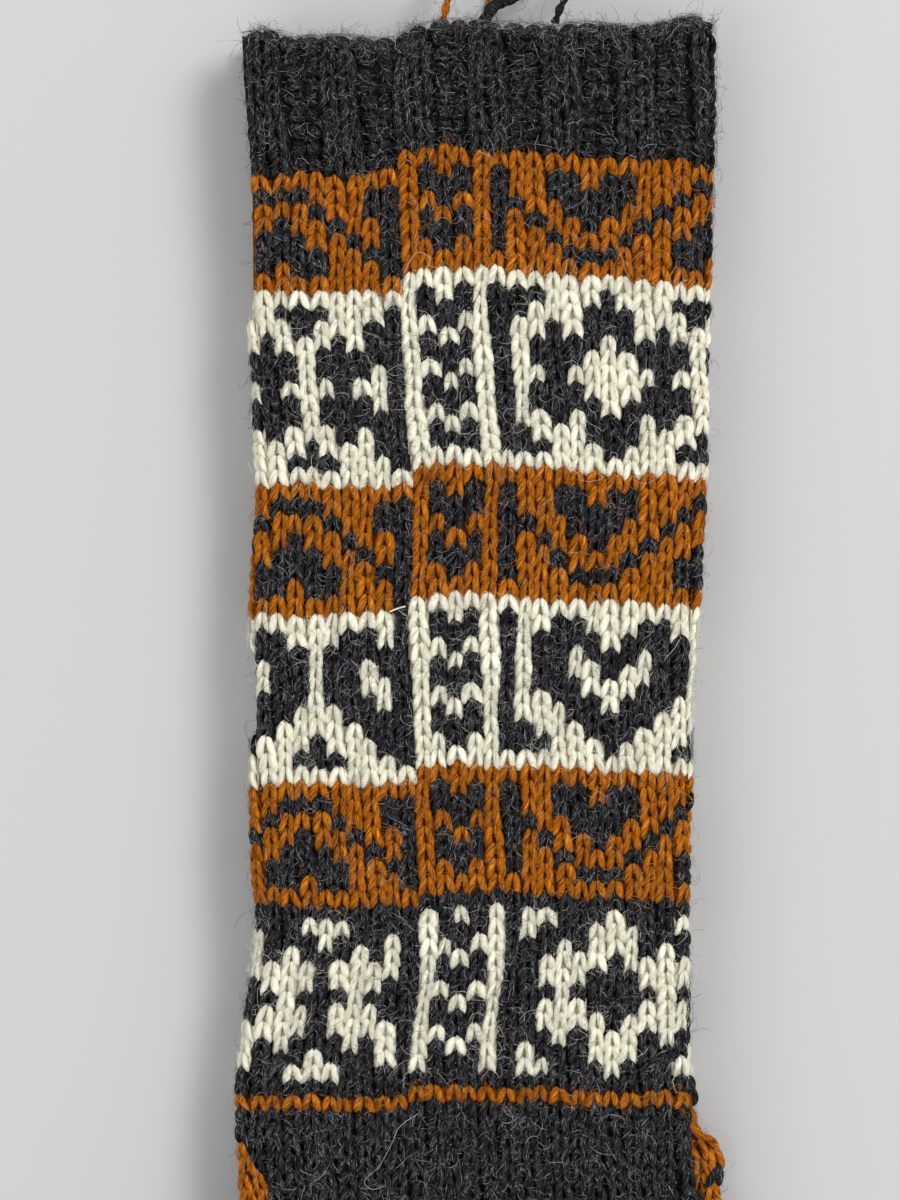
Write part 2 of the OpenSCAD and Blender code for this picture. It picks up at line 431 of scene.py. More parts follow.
def purl_shapes(seed):
    """Several versions of a purl stitch: one bump arching up and one hanging down."""
    draw = np.random.default_rng(seed)
    t = np.linspace(0, 1, LEG_STATIONS)
    versions = []
    for _ in range(SHAPES):
        pair = []
        for arch in (1, -1):
            x = -1.75 + 3.5 * t
            y = arch * (-0.25 + draw.uniform(0.8, 1.1) * np.sin(math.pi * t)) + 0.1
            z = -0.8 + 0.95 * np.sin(math.pi * t) + draw.uniform(-0.1, 0.1)
            radii = 0.74 * np.sin(math.pi * (0.1 + 0.8 * t)) ** 0.5
            pair.append(strand(np.stack([x, y, z], -1), radii, LEG_SIDES, flat=0.9))
        versions.append(pair)
    return versions


KNIT = {"charcoal": knit_shapes(3, 1.03), "rust": knit_shapes(5, 1.04), "cream": knit_shapes(6, 1.08)}
PURL = {"charcoal": purl_shapes(4)}


class Stitches:
    """Places of many stitches: P the middle, A across, L along towards the cuff and N outward."""

    def __init__(self, at, columns, rows, half_column, flip):
        columns = np.asarray(columns, float)
        rows = np.asarray(rows, float)
        half_column = np.broadcast_to(half_column, columns.shape)
        self.P = at(columns, rows)
        across = at(columns + half_column, rows) - at(columns - half_column, rows)
        along = at(columns, rows - 0.5) - at(columns, rows + 0.5)
        self.width = np.linalg.norm(across, axis=1)
        self.height = np.linalg.norm(along, axis=1)
        self.A = across / self.width[:, None]
        self.L = along / self.height[:, None]
        self.N = unit(np.cross(self.A, self.L) * flip)
        self.flip = flip

    def turn_along(self, direction):
        """Stand the stitches half way towards a new direction, still on the surface."""
        direction = unit(direction) + self.L
        direction -= (direction * self.N).sum(1, keepdims=True) * self.N
        self.L = unit(direction)
        self.A = np.cross(self.L, self.N) * self.flip
        self.height = np.minimum(self.height, ROW_H * 1.1)

    def pick(self, mask):
        chosen = object.__new__(Stitches)
        for key, value in self.__dict__.items():
            setattr(chosen, key, value[mask] if isinstance(value, np.ndarray) else value)
        return chosen

    def copy(self):
        return self.pick(np.ones(len(self), bool))

    def __len__(self):
        return len(self.P)


TABLE_CLEARANCE = 0.12


def above_table(points):
    """The same points, pressed flat where they would go through the table."""
    points[..., 2] = np.maximum(points[..., 2], TABLE_CLEARANCE)
    return points


# How unevenly stitches lie: their shear, and their shift across, along and outward
SHEAR = 0.06
JITTER = (0.10, 0.13, 0.10)


def lay_stitches(name, stitches, shapes, yarn, body):
    """Real yarn for these stitches, two strands each."""
    count = len(stitches)
    if not count:
        return
    tris = LEG_TRIS if stitches.flip > 0 else LEG_TRIS[:, ::-1]
    uv = LEG_UV if stitches.flip > 0 else LEG_UV[:, ::-1]
    wide = stitches.width / STITCH_W
    tall = stitches.height / ROW_H
    shear = rng.normal(0, SHEAR, (2, count))
    across = (stitches.A + shear[0][:, None] * stitches.L) * wide[:, None]
    along = (stitches.L + shear[1][:, None] * stitches.A) * tall[:, None]
    middle = stitches.P
    for jitter, way in zip(JITTER, (stitches.A, stitches.L, stitches.N)):
        middle = middle + rng.normal(0, jitter, (count, 1)) * way
    version = rng.integers(0, SHAPES, count)
    bulk = np.minimum(1, wide)[:, None, None]
    strands = []
    for which in (0, 1):
        local = np.stack([shapes[yarn][v][which] for v in range(SHAPES)])[version]
        strands.append(middle[:, None] + local[..., 0:1] * across[:, None]
                       + local[..., 1:2] * along[:, None]
                       + local[..., 2:3] * bulk * stitches.N[:, None])
    verts = above_table(np.stack(strands, 1).reshape(2 * count, -1, 3))
    cells = rng.integers(0, CELLS * CELLS, 2 * count)
    build_copies(name, verts, tris, uv, cells, YARNS[yarn], body)


PATCH_DEPTHS = (0.2, 0.5)
PATCH_OVERLAP = 0.15
PATCH_CORNERS = [(-1, -1), (1, -1), (1, 1), (-1, 1)]
PATCH_TRIS = np.array([(0, 1, 2), (0, 2, 3), (4, 6, 5), (4, 7, 6), (0, 5, 1), (0, 4, 5),
                       (1, 6, 2), (1, 5, 6), (2, 7, 3), (2, 6, 7), (3, 4, 0), (3, 7, 4)])


def lay_patches(name, stitches, yarn, body):
    """A thin tile in a darker tone of the stitch's own colour behind each stitch, where two colours
    are mixed: painted shade in the gaps between its legs.
    """
    wide = stitches.width[:, None] / 2 + PATCH_OVERLAP
    tall = stitches.height[:, None] / 2 + PATCH_OVERLAP
    points = [stitches.P + i * wide * stitches.A + j * tall * stitches.L - depth * stitches.N
              for depth in PATCH_DEPTHS for i, j in PATCH_CORNERS]
    tris = PATCH_TRIS if stitches.flip > 0 else PATCH_TRIS[:, ::-1]
    corners = (np.array(PATCH_CORNERS * 2) + 1) / 2
    cells = rng.integers(0, CELLS * CELLS, len(stitches))
    build_copies(name, above_table(np.stack(points, 1)), tris, corners[tris], cells,
                 SHADED_BACKINGS[yarn], body)


# ------------------------------------------------------------------ loose fibres
FIBRE_SIDES = 3
YARN_TOP = 1.18
LEG_THICK = 0.66


def fibre_paths(stitches, host, size, heading, bend, rise, tail, stations, combed):
    """Curling centre lines that start near their host stitch and run over the yarn's surface. A
    combed share of them lies along the stitches' own legs."""
    count = len(host)
    on_leg = rng.uniform(0, 1, count) < combed
    side = rng.choice([-1, 1], count)
    foot_x, foot_y, _ = leg_path(rng.uniform(0.05, 0.7, count), side)
    x = np.where(on_leg, foot_x + rng.normal(0, 0.28, count), rng.uniform(-1.8, 1.8, count))
    y = np.where(on_leg, foot_y, rng.uniform(-1.6, 1.6, count))
    heading = np.where(on_leg, math.pi / 2 + side * 0.22 + rng.normal(0, 0.2, count), heading)
    loose = np.where(on_leg, 0.35, 1)
    noise = rng.normal(0, 0.14, count)
    line = np.zeros((count, stations, 3))
    step = size / (stations - 1)
    for i in range(stations):
        s = i / (stations - 1)
        along = np.clip((y + 2.75) / 5.15, 0.15, 0.9)
        top = np.where(on_leg, leg_path(along, 1)[2] + LEG_THICK, YARN_TOP)
        out = np.maximum(top + loose * (noise + rise * math.sin(math.pi * s) + tail * s * s), 0.3)
        line[:, i] = (stitches.P[host] + x[:, None] * stitches.A[host]
                      + y[:, None] * stitches.L[host] + out[:, None] * stitches.N[host])
        turn = heading + bend * size * s + rng.normal(0, 0.18, count)
        x += step * np.cos(turn)
        y += step * np.sin(turn)
    return line


def lay_fibres(name, stitches, per_stitch, yarn, body, length=(2.2, 5.5), lift=0.45, thick=0.038,
               stations=6, combed=0.0):
    """Loose fibres that curl over the stitches: each is a thin tapered tube."""
    count = int(len(stitches) * per_stitch)
    if not count:
        return
    host = np.sort(rng.integers(0, len(stitches), count))
    size = rng.uniform(*length, count) * rng.choice([0.7, 1.0, 1.5], count, p=[0.35, 0.5, 0.15])
    heading = rng.uniform(0, 2 * math.pi, count)
    bend = rng.normal(0, 0.42, count)
    rise = np.abs(rng.normal(0, lift, count))
    tail = rng.normal(0, lift * 0.6, count)
    line = fibre_paths(stitches, host, size, heading, bend, rise, tail, stations, combed)
    radius = thick * rng.uniform(0.7, 1.3, count)
    radii = np.broadcast_to(radius[:, None], (count, stations))
    verts = above_table(strand(line, radii, FIBRE_SIDES, out=stitches.N[host][:, None], least=1e-9))
    cells = rng.integers(0, CELLS * CELLS, count)
    tris, uv = tube_faces(stations, FIBRE_SIDES)
    build_copies(name, verts, tris, uv * 0.9, cells, FIBRES[yarn], body)


# ------------------------------------------------------------------ the backing behind the stitches
# How deep the backing's two faces lie, as a rule, at the folds and under the ribs
DEPTHS = (0.55, 1.6)
FOLD_DEPTHS = (0.3, 0.8)
CUFF_DEPTHS = (2.1, 2.8)
FADE_FROM, FADE_OVER = 0.8, 2.2
# The backing's UV is its rows and columns, shrunk to fit the layer
UV_ROWS, UV_MARGIN = 64, 0.02


def fold_fade(column):
    """0 at the tube's two folds, rising to 1 from three columns away."""
    past = np.mod(column, EDGE_COLUMN)
    away = np.minimum(past, EDGE_COLUMN - past)
    return np.clip((away - FADE_FROM) / FADE_OVER, 0, 1)


def quads(a, b, c, d):
    """Two triangles for each of these grids' corners."""
    a, b, c, d = (grid.ravel() for grid in (a, b, c, d))
    return np.concatenate([np.stack([a, b, c], -1), np.stack([a, c, d], -1)])


def shell_faces(n_rows, n_cols):
    """Triangles of a closed sheet: an outer grid of points, then an inner one."""
    outer = np.arange(n_rows * n_cols).reshape(n_rows, n_cols)
    inner = outer + n_rows * n_cols
    return np.concatenate([
        quads(outer[:-1, :-1], outer[1:, :-1], outer[1:, 1:], outer[:-1, 1:]),
        quads(inner[:-1, :-1], inner[:-1, 1:], inner[1:, 1:], inner[1:, :-1]),
        quads(outer[0, :-1], outer[0, 1:], inner[0, 1:], inner[0, :-1]),
        quads(outer[-1, :-1], inner[-1, :-1], inner[-1, 1:], outer[-1, 1:]),
        quads(outer[:-1, 0], inner[:-1, 0], inner[1:, 0], outer[1:, 0]),
        quads(outer[:-1, -1], outer[1:, -1], inner[1:, -1], inner[:-1, -1]),
    ])


def backing(node, at, limits, rows, steps, half_step, flip, yarn, body, depths=DEPTHS, fade=None):
    """A closed sheet of fabric just inside the stitches, which stands for the CAD node. limits(row)
    gives its first and last column, and it runs along all the given rows. It stays close to the
    stitches at the folds."""
    rows = np.asarray(rows, float)
    share = np.linspace(0, 1, steps)
    low, high = limits(rows)
    columns = low[:, None] + (high - low)[:, None] * share
    grid_rows = np.broadcast_to(rows[:, None], columns.shape)
    flat_c, flat_r = columns.ravel(), grid_rows.ravel()
    places = Stitches(at, flat_c, flat_r, half_step, flip)
    flat = fade(flat_c)[:, None] if fade else np.abs(places.N[:, 2:3])
    layers = [places.P - (fold * (1 - flat) + depth * flat) * places.N
              for fold, depth in zip(FOLD_DEPTHS, depths)]
    tris = shell_faces(*columns.shape)
    if flip < 0:
        tris = tris[:, ::-1]
    plane = np.stack([flat_r, flat_c], -1) / UV_ROWS + UV_MARGIN
    uv = np.concatenate([plane, plane])[tris]
    # The backing's colour is a darker tone of its yarn: painted shade between the stitches.
    build(node + "_backing", above_table(np.concatenate(layers)), tris, uv, SHADED_BACKINGS[yarn],
          body, (node,))


# ------------------------------------------------------------------ colour charts
# A motif repeats every 10 columns and mirrors about its middle, so each chart row holds the columns
# at distance 0 to 5 from the middle, with # for the second colour. Row 0 and the last row are plain.
FLOWER = ["#...##", "##...#", "##.#..", ".####.", "..###.", "...#..",
          "..###.", ".####.", "##.#..", "##...#", "#...##"]
HEART = ["..##..", ".####.", "##.##.", "#..##.", "..###.", ".###..", "###...", "##...#", "#...##"]
# The garland repeats every 14 columns: a heart at distance 0 and a hanging heart at distance 7
GARLAND = [".##...##", "###..#..", "##..#..#", "#..#..##", "..#..###", "##...##."]
LATTICE = ["#.#", "###", ".#."]
COLUMNS = 52
PANEL_FIRST, PANEL_LAST = 0, 4
LINE_COLUMNS = (5, 51)
MOTIF_ORIGIN = 5
# Each patterned section's ground colour, its chart, the chart's repeat and a motif's middle
RUST_BAND = ("rust", GARLAND, 14, 5)
BANDS = {"rust_band_1": RUST_BAND, "rust_band_2": RUST_BAND, "rust_band_3": RUST_BAND,
         "flower_band": ("cream", FLOWER, 10, 6), "heart_band": ("cream", HEART, 10, 6),
         "dark_flower_band": ("charcoal", FLOWER, 10, 6)}
BACKING_YARNS = {"flower_band": "cream", "heart_band": "cream", "rust_band_1": "rust",
                 "rust_band_2": "rust", "rust_band_3": "rust", "wrist_stripe": "rust"}


def chart_mark(chart, period, middle, row, column):
    """True where the chart has a # for this row and column."""
    if not 0 <= row - 1 < len(chart):
        return False
    distance = abs((column - MOTIF_ORIGIN - middle + period // 2) % period - period // 2)
    return chart[row - 1][min(distance, len(chart[0]) - 1)] == "#"


def stitch_colour(section, row, rows, column):
    """Which yarn shows at a stitch. Columns count round from the round's first stitch."""
    if section not in BANDS:
        return "rust" if section == "wrist_stripe" else "charcoal"
    ground, chart, period, middle = BANDS[section]
    other = "cream" if ground == "charcoal" else "charcoal"
    if column == LINE_COLUMNS[1] and (section, row) in (("rust_band_2", rows - 1), ("heart_band", 0)):
        return "charcoal"
    if row in (0, rows - 1):
        return ground
    if PANEL_FIRST <= column <= PANEL_LAST:
        light = "rust" if ground == "rust" else "cream"
        if column in (PANEL_FIRST, PANEL_LAST):
            return light
        return "charcoal" if LATTICE[(row - 1) % 3][column - 1] == "#" else light
    if column in LINE_COLUMNS:
        return "charcoal"
    return other if chart_mark(chart, period, middle, row, column) else ground


# ------------------------------------------------------------------ the flattened tube
SECTION_POWER = 12
ANGLES = np.linspace(math.pi, -math.pi, 1441)
HALF_W = 46.5
HALF_T = 3.9


class Section:
    """The closed outline across a flattened tube, by share of its length from the left fold."""

    def __init__(self, half_w, half_t):
        self.x = np.sign(np.cos(ANGLES)) * np.abs(np.cos(ANGLES)) ** (2 / SECTION_POWER)
        self.z = np.sin(ANGLES)
        steps = np.hypot(np.diff(self.x * half_w), np.diff(self.z * half_t))
        self.length = steps.sum()
        self.t = np.concatenate([[0], np.cumsum(steps)]) / self.length

    def point(self, t):
        t = np.mod(t, 1.0)
        return np.interp(t, self.t, self.x), np.interp(t, self.t, self.z)


BODY_SECTION = Section(HALF_W, HALF_T)
GIRTH = BODY_SECTION.length / HALF_W


def smooth_curve(points, end, reach=4.0):
    """A function through listed (distance, value) points, rounded over the given reach."""
    grid = np.arange(-30, end + 30, 0.5)
    values = np.interp(grid, [p[0] for p in points], [p[1] for p in points])
    kernel = np.exp(-0.5 * (np.arange(-40, 41) * 0.5 / reach) ** 2)
    padded = np.pad(values, 40, mode="edge")
    soft = np.convolve(padded, kernel / kernel.sum(), mode="valid")
    return lambda s: np.interp(s, grid, soft)


# Row drop round the tube, in rows, from the round's first stitch: knitting in the round climbs one
# row a round, so the last columns sit lower than the first.
ROUND_COLUMN = [0, 1, 2, 4, 6, 10, 14, 17, 26, 43, 50, 51]
ROUND_DROP = [0.32, 0.15, 0, 0.12, 0.3, 0.6, 0.85, 1.05, 1.25, 1.45, 1.5, 1.38]
ROUND_MEAN = 0.75
# How strongly that drop shows at a distance down the tube
DROP_AT = [0, 27, 53, 94, 156, 183, 223, 415]
DROP_SHARE = [0.1, 1.25, 1.1, 0.95, 1.0, 0.6, 0.4, 0]
# The cast-on edge isn't straight: its height over the nominal edge, by X
EDGE_X = [-49, -45, -40, -30, -17.5, -14, -9, 0, 9, 17, 26, 35, 38.7, 42, 45.5, 48]
EDGE_RISE = [-0.7, 0.3, -2.1, -1.8, -2.4, -0.4, 0.5, 0.4, 0.3, 0.1, 0.5, 0.6, 1.6, 2.4, 2.5, 1.1]
EDGE_FADE = 22.0

SECTIONS = [("cast_on_edge", 1), ("ribbed_cuff", 8), ("rust_band_1", 8), ("flower_band", 13),
            ("rust_band_2", 8), ("heart_band", 11), ("rust_band_3", 8), ("dark_flower_band", 13),
            ("wrist_stripe", 1), ("hand", 44), ("fingertip", 14)]
STRIPE_ROW = 3.3
# Real rows are uneven: how far each edge lies from its nominal distance down
SHIFT_AT = [8, 27, 50, 80, 95, 122, 150, 183, 232, 270]
SHIFT = [0, 1.2, 0, 0, -0.5, -0.5, 0, -1.1, -1.1, 0]


def row_table():
    """Distance down to each row's edge, and the section and place in it of each row."""
    edges, names = [], []
    for section, rows in SECTIONS:
        low, high = node_span("upper_" + section)
        start, end = TOP_Y - high, TOP_Y - low
        if section == "wrist_stripe":
            end = start + STRIPE_ROW
        if section == "hand":
            start = edges[-1] + STRIPE_ROW
        if section == "fingertip":
            end -= 1.2
        edges += list(start + (end - start) * np.arange(rows) / rows)
        names += [(section, k, rows) for k in range(rows)]
    edges = np.array(edges + [end])
    return edges + np.interp(edges, SHIFT_AT, SHIFT), names


ROW_EDGES, ROWS = row_table()


def row_distance(r):
    """Nominal distance down to row r, which may lie between rows."""
    return np.interp(r, np.arange(len(ROW_EDGES)), ROW_EDGES)


TIP_AT = TOP_Y - node_span("upper_fingertip")[1]
TIP_R = node_span("upper_fingertip")[1] - node_span("upper_fingertip")[0]
FRONT_MIDDLE = 13
BACK_MIDDLE = 39
EDGE_COLUMN = 26
# Columns between the left fold and the round's first stitch, and how far that creeps round
FIRST_COLUMN = 8.6
CREEP = 1.3
CREEP_FROM, CREEP_OVER = 57, 115

# The thumb: the gusset's edges are paths of (x, distance down), and the thumb turns on its pivot
PIVOT = (-54.75, TOP_Y - (-76.5))
LEAN = math.radians(30)
THUMB_DIR = np.array([-math.sin(LEAN), math.cos(LEAN)])
THUMB_SIDE = np.array([math.cos(LEAN), math.sin(LEAN)])
THUMB_R = 13.2
THUMB_STRAIGHT = 47.5
THUMB_COLUMNS = 18
THUMB_ROWS = 19
THUMB_TIP_ROW = 11
GUSSET_ROWS = 16
GUSSET_END_INNER = [(-41.6, 262), (-42.4, 290.5)]
GUSSET_END_OUTER = [(-56.6, 258), (-66.6, 277)]
GUSSET_TO = 291
THUMB_SECTION = Section(THUMB_R, HALF_T)


def run_lengths(path):
    """Distance along a path to each of its points."""
    return np.concatenate([[0], np.cumsum(np.linalg.norm(np.diff(path, axis=0), axis=1))])


def along_path(path, share):
    """Points of a path by share of its length."""
    path = np.array(path, float)
    length = run_lengths(path)
    at = np.asarray(share) * length[-1]
    return np.interp(at, length, path[:, 0]), np.interp(at, length, path[:, 1])


class Mitten:
    """One mitten in its own frame, with its thumb at -X. flip -1 mirrors it into place."""

    def __init__(self, name, flip, base_z, left, right, gusset_start, slump, droop, set_back):
        self.name = name
        self.flip = flip
        self.base_z = base_z
        self.body = name + "_mitten"
        self.thumb_body = name + "_thumb"
        self.slump = slump
        self.set_back = set_back
        self.droop = math.radians(droop)
        inner_start, outer_start = gusset_start
        self.gusset_inner = inner_start + GUSSET_END_INNER
        self.gusset_outer = outer_start + GUSSET_END_OUTER
        self.gusset_from = inner_start[0][1]
        self.left = smooth_curve(left + [(s, x) for x, s in self.gusset_outer if s > left[-1][0]]
                                 + [(287, -66), (293, -45), (305, -47.75)], 415)
        self.plain_left = smooth_curve([p for p in left if p[0] < 235]
                                       + [(286, -48.5), (305, -47.75)], 415)
        self.right = smooth_curve(right, 415)
        hinge = np.array(PIVOT)
        start, end = hinge - 7 * THUMB_DIR, hinge + 11 * THUMB_DIR
        self.bend = (self.body, self.thumb_body, self.in_frame(start), self.in_frame(end))

    def in_frame(self, point):
        """A plan point as a place in the frame, in metres."""
        return (self.flip * point[0] * MM, (TOP_Y - point[1]) * MM, (self.base_z + LAYER_T / 2) * MM)

    def outline(self, s, plain=False):
        """Middle and half width of the tube at a distance down it."""
        left = (self.plain_left if plain else self.left)(s)
        right = self.right(s)
        past = np.clip((s - TIP_AT) / TIP_R, 0, 0.9999)
        return (left + right) / 2, (right - left) / 2 * np.sqrt(1 - past ** 2)

    def place(self, x, s, z):
        """From a point over the mitten's own plan, z from its middle layer, to the frame."""
        y = TOP_Y - s
        wave = 0.25 * np.sin(x / 13 + 1.3 + y / 31) + 0.2 * np.sin(y / 17 + x / 23)
        z = z + np.where(z > 0, wave, 0) * np.clip(np.abs(z) / HALF_T, 0, 1)
        return np.stack([self.flip * x, y, self.base_z + LAYER_T / 2 + z], -1)

    def creep(self, s):
        return FIRST_COLUMN + CREEP * np.clip((s - CREEP_FROM) / CREEP_OVER, 0, 1)

    def down(self, u, r):
        """Distance down the tube of row r at column u from the left fold."""
        s = row_distance(r)
        s = s + (np.minimum(r, 0) + np.maximum(r - len(ROWS), 0)) * ROW_H
        column = np.floor(np.mod(u - self.creep(s), COLUMNS))
        drop = np.interp(column, ROUND_COLUMN, ROUND_DROP) - ROUND_MEAN
        s = s + drop * np.interp(s, DROP_AT, DROP_SHARE) * ROW_H
        s = s + self.slump * np.clip(s / 150, 0, 1) * np.clip((TIP_AT - s) / 60, 0, 1)
        s = s + 0.22 * np.sin(u * 0.9 + s / 11) + 0.24 * np.sin(u * 0.37 - s / 7)
        s = s + 0.16 * np.sin(u * 1.9 + s / 3.1)
        return np.minimum(s, TIP_AT + TIP_R - 0.3)

    def share(self, u, s):
        """Share of the way round from the left fold to column u."""
        _, half = self.outline(s)
        _, plain_half = self.outline(s, plain=True)
        _, body_half = self.outline(np.minimum(s, TIP_AT), plain=True)
        girth, pitch = half * GIRTH, body_half * GIRTH / COLUMNS
        quarter = np.where(s < TIP_AT, plain_half, half) * GIRTH / 4
        front = 0.5 - (quarter + (FRONT_MIDDLE - u) * pitch) / girth
        back = 0.5 + (quarter + (u - BACK_MIDDLE) * pitch) / girth
        return np.where(u <= EDGE_COLUMN, front, back), pitch / girth

    def inner_share(self, s):
        """Share of the way round where the hand's own fabric starts, past the gusset."""
        middle, half = self.outline(s)
        path = np.array(self.gusset_inner)
        edge = np.interp(s, path[:, 1], path[:, 0])
        front = slice(0, len(ANGLES) // 2 + 1)
        share = np.interp((edge - middle) / half, BODY_SECTION.x[front], BODY_SECTION.t[front])
        return np.where((s > self.gusset_from) & (s < GUSSET_TO), share, 0)

    def knitted(self, u, r):
        """Which of these stitches the tube really has."""
        s = self.down(u, r)
        share, step = self.share(u, s)
        least = self.inner_share(s) + 0.12 * step
        front = (u <= EDGE_COLUMN) & (share > least) & (share < 0.5)
        back = (u > EDGE_COLUMN) & (share < 1 - least) & (share > 0.5)
        return front | back

    def fabric(self, share, s):
        middle, half = self.outline(s)
        x, z = BODY_SECTION.point(share)
        x = middle + half * x
        past = np.clip((s - TIP_AT) / TIP_R, 0, 1)
        z = HALF_T * z * np.sqrt(1 - past ** 3)
        rise = np.interp(self.flip * x, EDGE_X, EDGE_RISE) - self.set_back
        rise = rise * np.clip(1 - s / EDGE_FADE, 0, 1) ** 1.5
        return self.place(x, s - rise, z)

    def at(self, u, r):
        """Point on the fabric at column u from the left fold and row r from the cast-on edge."""
        s = self.down(u, r)
        wobble = 0.09 * np.sin(s / 9 + u * 1.7) + 0.05 * np.sin(s / 3.7 + u * 2.9)
        share, _ = self.share(u + wobble, s)
        return self.fabric(share, s)

    def at_share(self, share, r):
        return self.fabric(share, self.down(share * COLUMNS, r))

    def gusset_at(self, face, row):
        """Point on the gusset: face runs from -1 behind through 0 at its outer fold to 1 in front."""
        part = row / GUSSET_ROWS
        inner_x, inner_s = along_path(self.gusset_inner, part)
        outer_x, outer_s = along_path(self.gusset_outer, part)
        across = np.abs(face)
        x = outer_x + (inner_x - outer_x) * across
        s = outer_s + (inner_s - outer_s) * across
        gap = np.hypot(inner_x - outer_x, inner_s - outer_s) * across
        z = HALF_T * np.sqrt(1 - np.clip(1 - gap / HALF_W, 0, 1) ** SECTION_POWER)
        return self.place(x, s, np.sign(face) * z)

    def thumb_at(self, column, row):
        """Point on the thumb's tube, rows counted from its base."""
        reach = np.asarray(row) * ROW_H
        end = THUMB_STRAIGHT + THUMB_R
        reach = np.minimum(reach, end - 0.2)
        past = np.clip((reach - THUMB_STRAIGHT) / THUMB_R, 0, 1)
        half = THUMB_R * np.sqrt(1 - past ** 2)
        x, z = THUMB_SECTION.point(column / THUMB_COLUMNS)
        plan = [PIVOT[k] + half * x * THUMB_SIDE[k] + reach * THUMB_DIR[k] for k in (0, 1)]
        z = HALF_T * z * np.sqrt(1 - past ** 3)
        sink = np.maximum(reach, 0) * math.tan(self.droop)
        point = self.place(plan[0], plan[1], z)
        point[..., 2] -= sink
        return point


# ------------------------------------------------------------------ knitting the pieces
def is_rib(column):
    return column % 4 < 2


RIB_OUT, RIB_IN = 0.45, -1.3
# How deep the stitches inside the cuff lie, and how many rows of them there are
CUFF_INSIDE = -2.4
INSIDE_ROWS = 5
PURL_FUZZ = 0.75
LONG_FIBRES = {"charcoal": 5, "rust": 3, "cream": 3.2}
LONG_THICK = {"charcoal": 0.036, "rust": 0.03, "cream": 0.026}
SHORT_FIBRES = {"charcoal": 36, "rust": 34, "cream": 36}
SHORT = (0.9, 2.3)
COMBED = {"charcoal": 0.75, "rust": 0.74, "cream": 0.68}
STRAYS = 1.5
LIP_FUZZ = 1.5
# How much of a row the cast-on edge's backing stays below the rim
CAST_ON_TUCK = 0.3
RIM_FUZZ_DEPTH = -0.4
STRIPE_HEIGHT = 0.76
HIDDEN_SHARE = 0.3
# Half a column, kept just inside it
WITHIN_COLUMN = 0.49


def shifted(stitches, out=0.0, along=0.0):
    """The same stitches moved outward and towards the cuff."""
    moved = stitches.copy()
    moved.P = stitches.P + out * stitches.N + along * stitches.L
    return moved


def turned(stitches, tip_over):
    """The same places seen over the rim (tip_over) or on the inside of the tube."""
    other = stitches.copy()
    if tip_over:
        other.L, other.N = -stitches.N, stitches.L
    else:
        other.A, other.N = -stitches.A, -stitches.N
    return other


def fuzz(name, stitches, yarn, body, share=1.0, combed=1.0):
    """Long curling fibres and short ones that soften the yarn's outline."""
    lay_fibres(name + "_fibres", stitches, LONG_FIBRES[yarn] * share, yarn, body,
               thick=LONG_THICK[yarn])
    lay_fibres(name + "_fuzz", stitches, SHORT_FIBRES[yarn] * share, yarn, body, length=SHORT,
               lift=0.18, thick=0.036, stations=3, combed=COMBED[yarn] * combed)
    if yarn != "charcoal":
        lay_fibres(name + "_strays", stitches, STRAYS * share, "charcoal", body, thick=0.02)


def fuzz_faces(name, stitches, yarn, body, visible, share=1.0, combed=1.0):
    """Full fuzz where the mitten is seen from above, and less behind."""
    if visible:
        front = stitches.N[:, 2] > -0.3
        fuzz(name + "_front", stitches.pick(front), yarn, body, share, combed)
        fuzz(name + "_back", stitches.pick(~front), yarn, body, share * HIDDEN_SHARE, combed)
    else:
        fuzz(name, stitches, yarn, body, share * HIDDEN_SHARE, combed)


def knit_cuff(name, mitten, stitches, column, row, u, visible):
    """Ribs that stand out, purl columns sunk between them, and the first rows of the inside."""
    rib = is_rib(column)
    sink = RIB_IN * fold_fade(u[~rib])[:, None]
    raised, sunk = shifted(stitches.pick(rib), RIB_OUT), shifted(stitches.pick(~rib), sink)
    inside = turned(shifted(stitches, CUFF_INSIDE), False).pick(row < INSIDE_ROWS)
    lay_stitches(name + "_ribs", raised, KNIT, "charcoal", mitten.body)
    lay_stitches(name + "_purls", sunk, PURL, "charcoal", mitten.body)
    lay_stitches(name + "_inside", inside, PURL, "charcoal", mitten.body)
    fuzz_faces(name + "_ribs", raised, "charcoal", mitten.body, visible)
    fuzz_faces(name + "_purls", sunk, "charcoal", mitten.body, visible, PURL_FUZZ, 0)


def knit_cast_on(name, mitten, stitches, visible):
    """The firm edge: a row outside, one over the rim and one inside, all of purl bumps."""
    parts = {"outer": shifted(stitches, out=0.25, along=-0.4),
             "rim": turned(shifted(stitches, out=-1.0, along=0.8), True),
             "inner": turned(shifted(stitches, out=-2.3), False)}
    lip = shifted(stitches, out=-0.1, along=0.4)
    fuzz_faces(name + "_lip", lip, "charcoal", mitten.body, visible, LIP_FUZZ, 0)
    for label, part in parts.items():
        lay_stitches(f"{name}_{label}", part, PURL, "charcoal", mitten.body)
        close = shifted(part, out=RIM_FUZZ_DEPTH)
        fuzz_faces(f"{name}_{label}", close, "charcoal", mitten.body, visible, combed=0)


def knit_colours(name, mitten, stitches, colours, visible):
    """Plain knitting, colour by colour, with darker patches behind it where colours are mixed, which
    are painted shade in the gaps between the legs.
    """
    for colour in sorted(set(colours)):
        part = stitches.pick(colours == colour)
        if len(set(colours)) > 1:
            # Darker tiles behind the stitches: painted shade in the gaps between their legs
            lay_patches(f"{name}_{colour}_floats", part, colour, mitten.body)
        lay_stitches(f"{name}_{colour}", part, KNIT, colour, mitten.body)
        fuzz_faces(f"{name}_{colour}", part, colour, mitten.body, visible)


